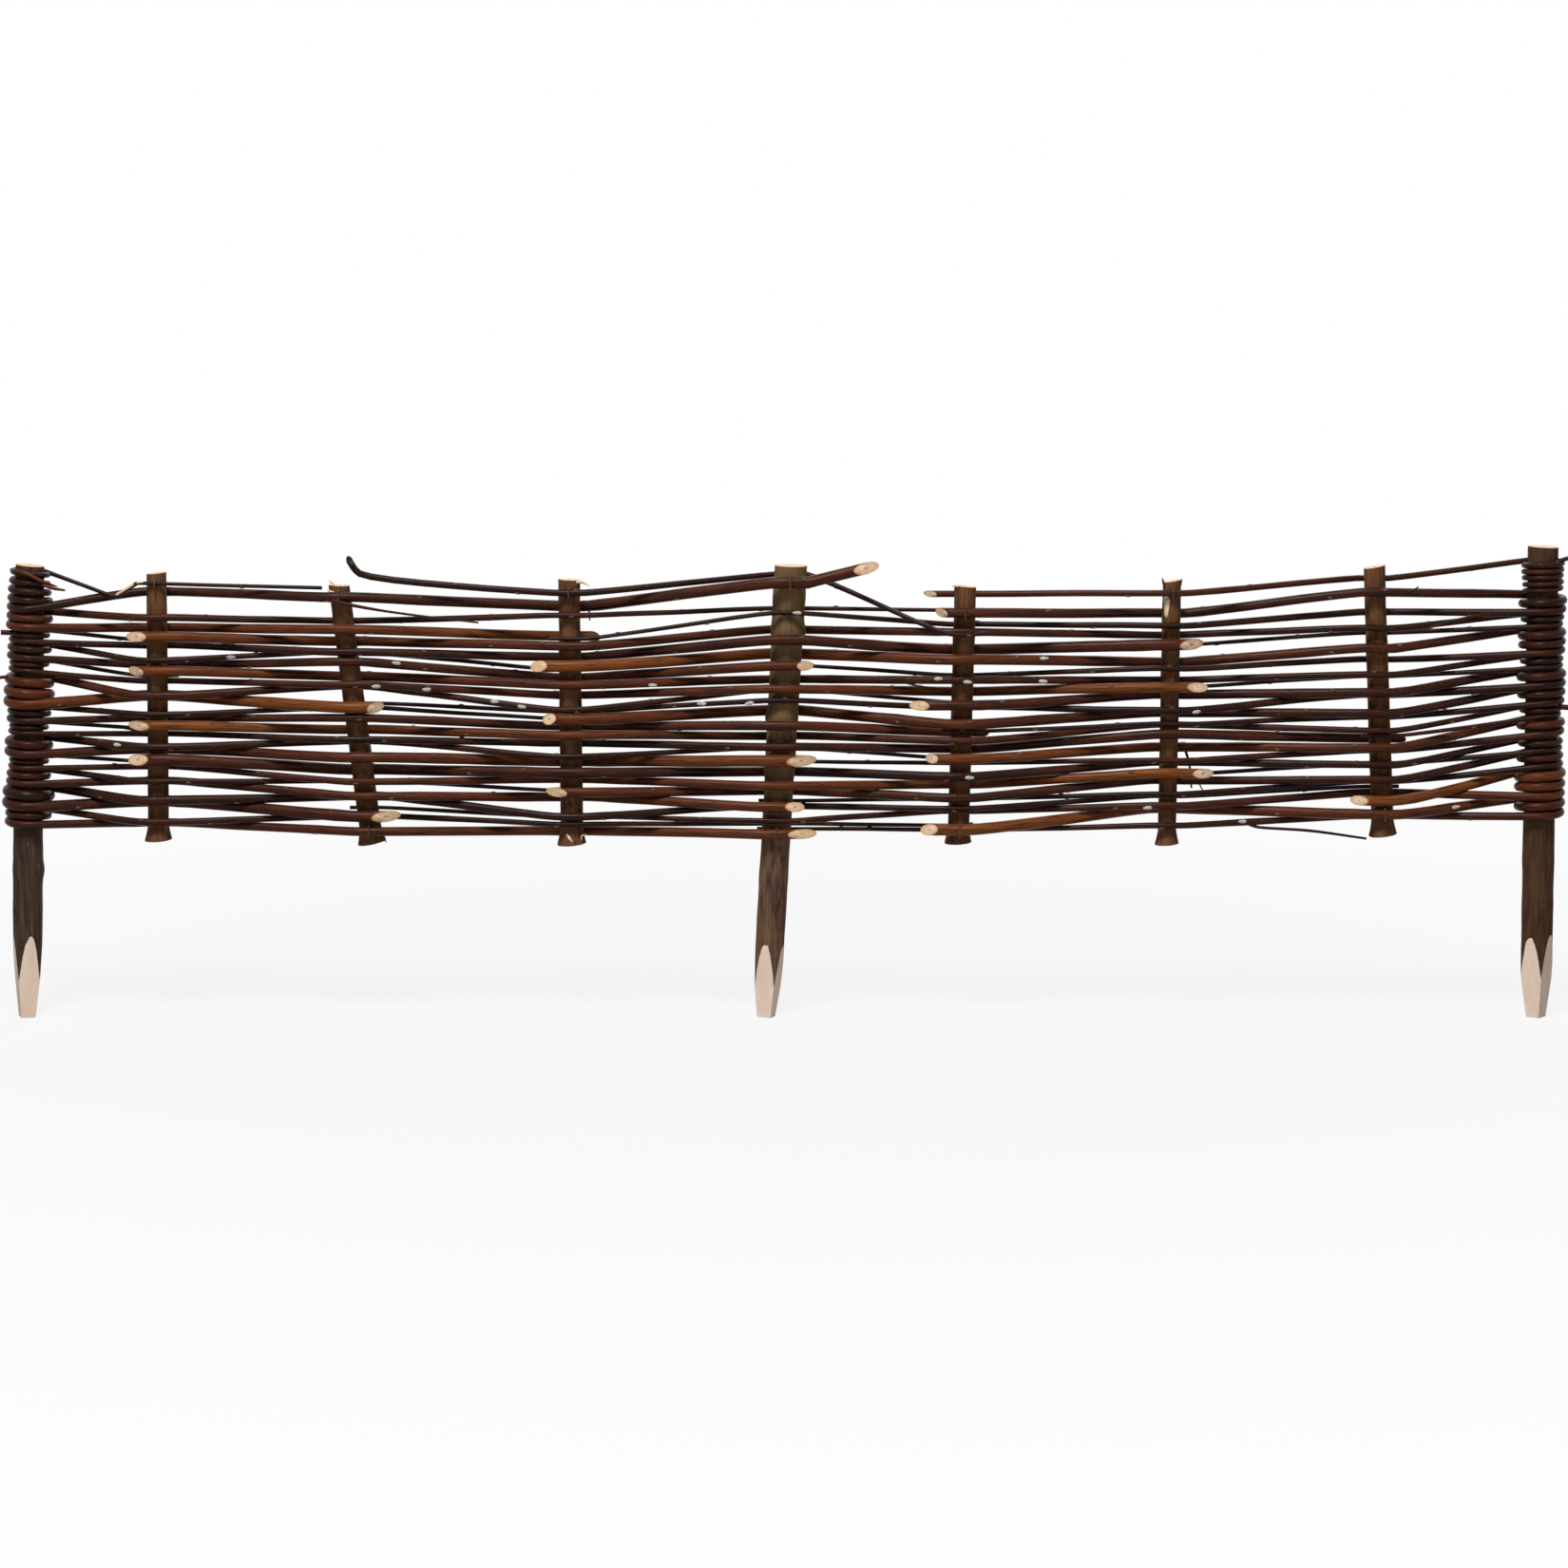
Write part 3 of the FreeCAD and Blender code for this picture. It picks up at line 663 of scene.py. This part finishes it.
def nearest_stem(x, z, side):
    """Centre, direction and radius of the rod that shows nearest to a place on one side of the weave."""
    best = None
    for _, along, centres, radii in rods.values():
        away = (centres[:, 0] - x) ** 2 + (centres[:, 2] - z) ** 2
        away[(centres[:, 1] * side < off_middle) | (along < plain_butt)] = out_of_reach
        place = min(int(np.argmin(away)), len(radii) - 2)
        if best is None or away[place] < best[0]:
            ahead = Vector(centres[place + 1] - centres[place]).normalized()
            best = (away[place], Vector(centres[place]), ahead, radii[place])
    return best[1:]


def close_ends(piece):
    """Closes a drawn stem at both ends."""
    select_points(piece, lambda point: True)
    bpy.ops.mesh.fill_holes(sides=0)
    bpy.ops.object.mode_set(mode="OBJECT")
    bpy.ops.object.shade_smooth_by_angle(angle=rod_crease)


shoot_stations = rod_stations("side_shoot")
shoot_start, shoot_radius = shoot_stations[0]
shoot_side = math.copysign(1, shoot_start.y)
shoot_root, _, _ = nearest_stem(shoot_start.x - shoot_join, shoot_start.z, shoot_side)
shoot_stations.insert(0, (shoot_root, shoot_swell * shoot_radius))
shoot = draw_rod("hanging_shoot", shoot_stations, never_sharp)
grow_bark(shoot, len(rod_names) + 1, shoot_tone)
shoot.data.materials.append(rod_bark)
close_ends(shoot)
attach(shoot, "root")
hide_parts("side_shoot")

# Loose twigs. Shoots that were not trimmed off, a rod that has split, and tips that stand out past the
# turns on the end stakes. Each shoot grows out of the rod that is nearest to its root, on the front
# or the back.

twig_rows = [
    # thickness at the root and at the tip, the side it is on, and its bends from root to tip: x and z
    (2.4, 1.4, 1, ((317, 78.5), (321.5, 65.5), (323.6, 45.8))),
    (1.5, 0.8, 1, ((322.5, 55), (325, 46), (328.7, 39.3))),
    (2.2, 1.2, -1, ((40, 15.5), (43, 13), (48, 11))),
    (2.4, 1.0, -1, ((477, 182), (481, 184), (486, 187))),
    (2.4, 1.2, -1, ((551, 173.8), (527.3, 170.5), (513, 167.3), (496, 162), (470, 158.8))),
    (2.0, 1.0, 1, ((-142.5, 186), (-141.5, 181), (-141, 174))),
    (3.4, 1.4, -1, ((-345, 193.5), (-322, 188), (-300, 184), (-225.5, 174.5))),
    (2.0, 1.0, -1, ((-426, 152), (-410, 148), (-392, 146))),
    (2.2, 1.0, 1, ((-502, 91), (-482, 86), (-466, 83))),
    (2.0, 0.9, -1, ((98, 128), (112, 124.5), (130, 122))),
]
stub_rows = [
    # tips past the turns on an end stake: x and z of the root and of the tip, and the thickness
    (-579, 164, -588.5, 164.5, 4.0),
    (-579, 131, -591, 130, 2.6),
    (596, 107.6, 605, 107.0, 4.2),
    (592, 218, 601, 221, 3.4),
]
stub_depths = (-7, -9)
twig_clear = 0.8 * mm
twig_tone = 0.15
first_twig_seed = len(rods) + 2


def grow_twig(stations):
    """A twig through its stations, closed at both ends and dark as the tips of the rods are."""
    twig = draw_rod("loose_twig", stations, never_sharp)
    grow_bark(twig, first_twig_seed + len(twigs), twig_tone)
    twig.data.materials.append(rod_bark)
    close_ends(twig)
    twigs.append(twig)


def gather(name, pieces):
    """Joins pieces that are made alike into one, with its place in its mesh."""
    bpy.ops.object.select_all(action="DESELECT")
    for piece in pieces:
        piece.select_set(True)
    bpy.context.view_layer.objects.active = pieces[0]
    bpy.ops.object.join()
    joined = bpy.context.object
    joined.name = joined.data.name = name
    bpy.ops.object.transform_apply(location=True, rotation=True, scale=True)
    return joined


twigs = []
for thick, thin, side, bends in twig_rows:
    root_x, root_z = bends[0]
    root, _, stem_radius = nearest_stem(root_x * mm, root_z * mm, side)
    stations = [(root, thick / 2 * mm)]
    for place, (x, z) in enumerate(bends[1:], 1):
        gone = place / (len(bends) - 1)
        out = side * (stem_radius + thick / 2 * mm + twig_clear)
        spot = root + Vector(((x - root_x) * mm, out, (z - root_z) * mm))
        stations.append((spot, (thick + (thin - thick) * gone) / 2 * mm))
    grow_twig(stations)
for root_x, root_z, x, z, thick in stub_rows:
    root_y, y = stub_depths
    spots = [Vector((root_x * mm, root_y * mm, root_z * mm)), Vector((x * mm, y * mm, z * mm))]
    grow_twig([(spot, thick / 2 * mm) for spot in spots])
loose_twigs = gather("loose_twigs", twigs)
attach(loose_twigs, "root")

# Torn wood and bark. Where the split rod has given way, and where a blunt saw has been at the ends of
# the poles, pale strips of wood and slivers of bark stand off. A strip of bark is wound over the turns
# on the left stake.

pale_rows = [
    # bends of each strip: x, y, z and thickness
    ((-340, -8.4, 197, 1.0), (-336, -9.2, 195, 2.2), (-329, -9.0, 193, 0.6)),
    ((-334, -3.0, 199, 1.6), (-337, -4.0, 202, 1.8), (-339, -4.5, 204, 0.4)),
    ((-153, -4.5, 202, 2.6), (-147, -5.5, 202.5, 2.2), (-141, -6.5, 199.5, 0.5)),
    ((146, -4.0, 197.5, 2.4), (139, -5.0, 199.5, 2.6), (134, -5.5, 199.5, 0.8)),
    ((-159.5, -8.8, 9.5, 0.8), (-157.5, -9.8, 6.5, 2.6), (-155.0, -10.0, 3.5, 0.8)),
    ((-148.5, -7.4, 4.5, 1.0), (-148.2, -8.6, 8.0, 1.4), (-145.0, -9.2, 9.5, 0.5)),
    (
        (297.6, -4.8, 193, 2.6), (298.0, -4.1, 189, 6.2),
        (298.4, -4.1, 178, 6.2), (298.6, -4.6, 170.5, 2.6),
    ),
]
bark_rows = [
    # bends of each sliver: x, y, z and thickness
    ((-337, -8.2, 194, 2.0), (-342, -9.0, 192, 1.8), (-345.5, -9.5, 187.5, 0.7)),
    ((-302.5, -6.0, 11.0, 2.4), (-300.5, -6.4, 7.0, 2.6), (-298.0, -6.6, 2.5, 0.5)),
    ((296, -3.4, 198, 2.6), (294.6, -4.2, 202, 2.2), (293.4, -4.6, 206, 0.5)),
    ((306.5, -2.6, 197, 2.4), (308, -3.0, 201, 1.8), (309.2, -3.2, 205, 0.4)),
    (
        (-580, -6.0, 212.5, 1.4), (-574, -13.5, 212, 2.6), (-566, -16.4, 209.5, 2.8),
        (-556, -14.6, 204.5, 2.4), (-549, -9.0, 201, 1.6), (-545.5, -6.0, 199.5, 0.8),
    ),
    ((-556, -12.5, 201.5, 2.6), (-547.6, -12.0, 198.6, 2.8), (-538.5, -11.0, 196.7, 1.6)),
]
split_rod = "top_rod_left"
split_stretch = (-506 * mm, -468 * mm)
split_from_tip = 0.25
split_shift = Vector((0, -0.35, 0.45))
split_share = 0.85
split_end_radius = 0.3 * mm
sliver_seed = 90
sliver_tone = 0.5


def tear_strip(name, bends):
    """A torn strip through its bends, closed at both ends."""
    stations = [(Vector((x, y, z)) * mm, thick / 2 * mm) for x, y, z, thick in bends]
    strip = draw_rod(name, stations, never_sharp)
    close_ends(strip)
    return strip


pale_strips = [tear_strip("torn_strip", bends) for bends in pale_rows]
_, along, centres, radii = rods[split_rod]
torn_run = []
for reached, centre, radius in zip(along, centres, radii):
    if reached > along[-1] - split_from_tip and split_stretch[0] < centre[0] < split_stretch[1]:
        torn_run.append((Vector(centre) + split_shift * float(radius), split_share * radius))
for end in (0, -1):
    torn_run[end] = (torn_run[end][0], split_end_radius)
pale_strips.append(draw_rod("torn_strip", torn_run))
close_ends(pale_strips[-1])
torn_wood = gather("torn_wood", pale_strips)
pith = torn_wood.data.attributes.new("from_pith", "FLOAT", "POINT")
pith.data.foreach_set("value", [plain_pith] * len(torn_wood.data.vertices))
torn_wood.data.materials.append(cut_wood)
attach(torn_wood, "root")

bark_strips = [tear_strip("bark_strip", bends) for bends in bark_rows]
for number, strip in enumerate(bark_strips):
    grow_bark(strip, sliver_seed + number, sliver_tone)
torn_bark = gather("torn_bark", bark_strips)
torn_bark.data.materials.append(rod_bark)
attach(torn_bark, "root")

# Buds and catkins. Each node of a rod, except in the turns, carries a small pointed bud that is pressed
# to the stem, and a few on the front have opened into silky grey catkins. They are copies of one bud,
# turned the way the rod grows.

bud_length = 5.4 * mm
bud_width = 2.5 * mm
bud_sides = 6
bud_rings = 5
bud_point = 0.8
bud_base = 0.42
bud_lean = 0.22
bud_sink = 0.8
bud_turns = (35, -50, 60, -20)
bud_least_growth = 0.75
bud_growth_by_radius = 60
wraps_from = 545 * mm
catkin_growth = 1.4
catkin_sway = 0.5
catkin_phase = 1.9
catkin_spots = [
    # x and z of each, as they show on the front
    (-426, 145), (-278.5, 139.6), (-302.6, 114.2), (-248, 114.2), (-227.6, 111.3), (-188.4, 110.5),
    (-104.7, 131.6), (-69.8, 106.9), (-51.6, 105.5), (-22.5, 106.9), (-509.8, 83.6), (122.9, 120),
    (142.5, 118.5), (197.1, 120.7), (206.5, 136), (144.7, 58.2), (285.1, 29.8), (365.1, 21.1),
    (508.4, 29.1), (319.3, 109.1), (21.1, 179.6),
]


def shape_bud():
    """One bud along +Z: a ball drawn out to a point, with its base at the origin."""
    bpy.ops.object.select_all(action="DESELECT")
    bpy.ops.mesh.primitive_uv_sphere_add(segments=bud_sides, ring_count=bud_rings, radius=0.5)
    bud = bpy.context.object
    select_points(bud, lambda point: point.co.z > 0)
    bpy.ops.transform.resize(value=(bud_point, bud_point, 1.0))
    bpy.ops.mesh.select_all(action="SELECT")
    bpy.ops.transform.translate(value=(0, 0, bud_base))
    bpy.ops.transform.resize(value=(bud_width, bud_width, bud_length), center_override=(0, 0, 0))
    bpy.ops.object.mode_set(mode="OBJECT")
    bpy.ops.object.shade_smooth()
    return bud


def set_on_stem(centre, ahead, out, radius, growth):
    """A copy of the bud on a stem, pointing the way that the stem grows."""
    across = ahead.cross(out).normalized()
    out = across.cross(ahead)
    axis = (ahead + bud_lean * out).normalized()
    turn = Matrix((across, axis.cross(across), axis)).transposed().to_4x4()
    copied = bud.copy()
    copied.data = bud.data.copy()
    base = Matrix.Translation(centre + out * radius * bud_sink)
    copied.matrix_world = base @ turn @ Matrix.Scale(growth, 4)
    bpy.context.scene.collection.objects.link(copied)
    return copied


def bud_surface(name, dark, light, sheen):
    """The mottled scale of a bud, or the down of a catkin with its sheen."""
    material, tree, shader = new_surface(name)
    place = add_node(tree, "TexCoord", {}).outputs["Object"]
    mottle = stretched_noise(tree, place, (1, 1, 1), 900.0)
    colour = colours_along(tree, mottle, [(0.35, dark), (0.65, light)])
    tree.links.new(colour, shader.inputs["Base Color"])
    bump = add_node(tree, "Bump", {"Height": mottle, "Strength": 0.4, "Distance": 0.3 * mm})
    tree.links.new(bump.outputs[0], shader.inputs["Normal"])
    shader.inputs["Roughness"].default_value = 0.55
    shader.inputs["Sheen Weight"].default_value = sheen
    return material


bud = shape_bud()
buds = []
for nodes, along, centres, radii in rods.values():
    for number, node in enumerate(nodes):
        place = int(np.searchsorted(along, node))
        if place + 1 < len(along) and abs(centres[place][0]) < wraps_from:
            turn = math.radians(bud_turns[number % len(bud_turns)])
            side = math.copysign(1, centres[place][1])
            out = Vector((0, side * math.cos(turn), math.sin(turn)))
            ahead = Vector(centres[place + 1] - centres[place]).normalized()
            growth = bud_least_growth + bud_growth_by_radius * radii[place]
            buds.append(set_on_stem(Vector(centres[place]), ahead, out, radii[place], growth))
willow_buds = gather("willow_buds", buds)
willow_buds.data.materials.append(bud_surface("bud_scale", srgb(38, 20, 14), srgb(92, 52, 30), 0))
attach(willow_buds, "root")

catkins = []
for number, (x, z) in enumerate(catkin_spots):
    centre, ahead, radius = nearest_stem(x * mm, z * mm, -1)
    out = Vector((0, -1, catkin_sway * math.sin(catkin_phase * number)))
    catkins.append(set_on_stem(centre, ahead, out, radius, catkin_growth))
willow_catkins = gather("willow_catkins", catkins)
catkin_down = bud_surface("catkin_down", srgb(150, 144, 138), srgb(222, 218, 212), 0.4)
willow_catkins.data.materials.append(catkin_down)
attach(willow_catkins, "root")
bpy.data.objects.remove(bud)

# Staples. Short lengths of thin round steel wire, bent square and driven over the outer rods into the
# poles, so that the weave cannot work up or down. Their crowns are dulled by the weather.

wire_round = 0.35 * mm
wire_round_steps = 2
wire_flatness = math.radians(1)

wire_steel, wire_tree, wire_shader = new_surface("staple_wire")
wire_place = add_node(wire_tree, "TexCoord", {}).outputs["Object"]
wire_stain = stretched_noise(wire_tree, wire_place, (1, 1, 1), 700.0)
wire_colour = colours_along(wire_tree, wire_stain, [(0.40, srgb(34, 28, 25)), (0.62, srgb(92, 80, 72))])
wire_tree.links.new(wire_colour, wire_shader.inputs["Base Color"])
wire_shader.inputs["Metallic"].default_value = 0.6
wire_shader.inputs["Roughness"].default_value = 0.55

staples = bpy.data.objects.new("staple_wires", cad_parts["staples"].data.copy())
bpy.context.scene.collection.objects.link(staples)
staples.data.materials.clear()
staples.data.materials.append(wire_steel)
select_points(staples, lambda point: True)
bpy.ops.mesh.remove_doubles(threshold=weld)
bpy.ops.mesh.dissolve_limited(angle_limit=wire_flatness)
bpy.ops.mesh.select_all(action="SELECT")
bpy.ops.mesh.bevel(offset=wire_round, segments=wire_round_steps)
bpy.ops.object.mode_set(mode="OBJECT")
bpy.ops.object.shade_smooth_by_angle(angle=rod_crease)
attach(staples, "root")
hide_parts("staples")

# Studio. A pale floor under the points, a white surround, three soft lamps and a long lens a little above
# the hurdle. Floor and surround look white to the camera, but light the hurdle only a little.

floor_level = -134.5 * mm
floor_size = 12.0
floor_grey = 192
white_from = 0.5
white_to = 1.6
least_white = 0.86
surround_light = 0.03
picture_width = 1.2
lens = 100
film_width = 36
look_at = Vector((6.5 * mm, 0, 47 * mm))
look_down = math.radians(8)


def seen_directly(tree):
    """1 for a ray from the camera, or one that comes by way of a mirror or glass, and otherwise 0."""
    path = add_node(tree, "LightPath", {}).outputs
    seen = path["Is Camera Ray"]
    for kind in ("Is Glossy Ray", "Is Transmission Ray"):
        seen = add_node(tree, "Math", {0: seen, 1: path[kind]}, operation="MAXIMUM").outputs[0]
    return seen


bpy.ops.mesh.primitive_plane_add(size=floor_size, location=(0, 0, floor_level))
floor = bpy.context.object
floor.name = "floor"
paper, paper_tree, paper_shader = new_surface("floor_paper")
paper_shader.inputs["Base Color"].default_value = srgb(floor_grey, floor_grey, floor_grey)
paper_shader.inputs["Roughness"].default_value = 0.9
paper_place = add_node(paper_tree, "TexCoord", {}).outputs["Object"]
paper_reach = add_node(paper_tree, "VectorMath", {0: paper_place}, operation="LENGTH").outputs["Value"]
paper_white = add_node(
    paper_tree, "MapRange",
    {
        "Value": paper_reach, "From Min": white_from, "From Max": white_to,
        "To Min": least_white, "To Max": 1.0,
    },
).outputs[0]
white_share = add_node(
    paper_tree, "Math", {0: seen_directly(paper_tree), 1: paper_white}, operation="MULTIPLY",
).outputs[0]
glow = add_node(paper_tree, "Emission", {"Color": (1, 1, 1, 1), "Strength": 1.0}).outputs[0]
paper_mix = add_node(paper_tree, "MixShader", {0: white_share, 1: paper_shader.outputs[0], 2: glow})
paper_tree.links.new(paper_mix.outputs[0], paper_tree.nodes["Material Output"].inputs["Surface"])
floor.data.materials.append(paper)

world = bpy.data.worlds.new("white_surround")
bpy.context.scene.world = world
world.use_nodes = True
sky = world.node_tree
sky_strength = add_node(
    sky, "MapRange", {"Value": seen_directly(sky), "To Min": surround_light, "To Max": 1.0},
)
sky.links.new(sky_strength.outputs[0], sky.nodes["Background"].inputs["Strength"])
sky.nodes["Background"].inputs["Color"].default_value = (1, 1, 1, 1)

lamp_rows = [
    # name, place, size, power
    ("key_lamp", (-0.5, -1.8, 3.0), 1.0, 116),
    ("fill_lamp", (1.6, -2.8, 1.0), 2.0, 5),
    ("back_lamp", (0.6, 2.4, 2.2), 2.0, 30),
]
for name, place, size, power in lamp_rows:
    bpy.ops.object.light_add(type="AREA", location=place)
    lamp = bpy.context.object
    lamp.name = name
    lamp.data.size = size
    lamp.data.energy = power
    lamp.rotation_mode = "QUATERNION"
    lamp.rotation_quaternion = (look_at - Vector(place)).to_track_quat("-Z", "Y")

bpy.ops.object.camera_add()
camera = bpy.context.object
camera.data.lens = lens
camera.data.sensor_width = film_width
away = Vector((0, -math.cos(look_down), math.sin(look_down)))
camera.location = look_at + away * (picture_width * lens / film_width)
camera.rotation_mode = "QUATERNION"
camera.rotation_quaternion = (-away).to_track_quat("-Z", "Y")
bpy.context.scene.camera = camera
bpy.context.scene.view_settings.view_transform = "Standard"
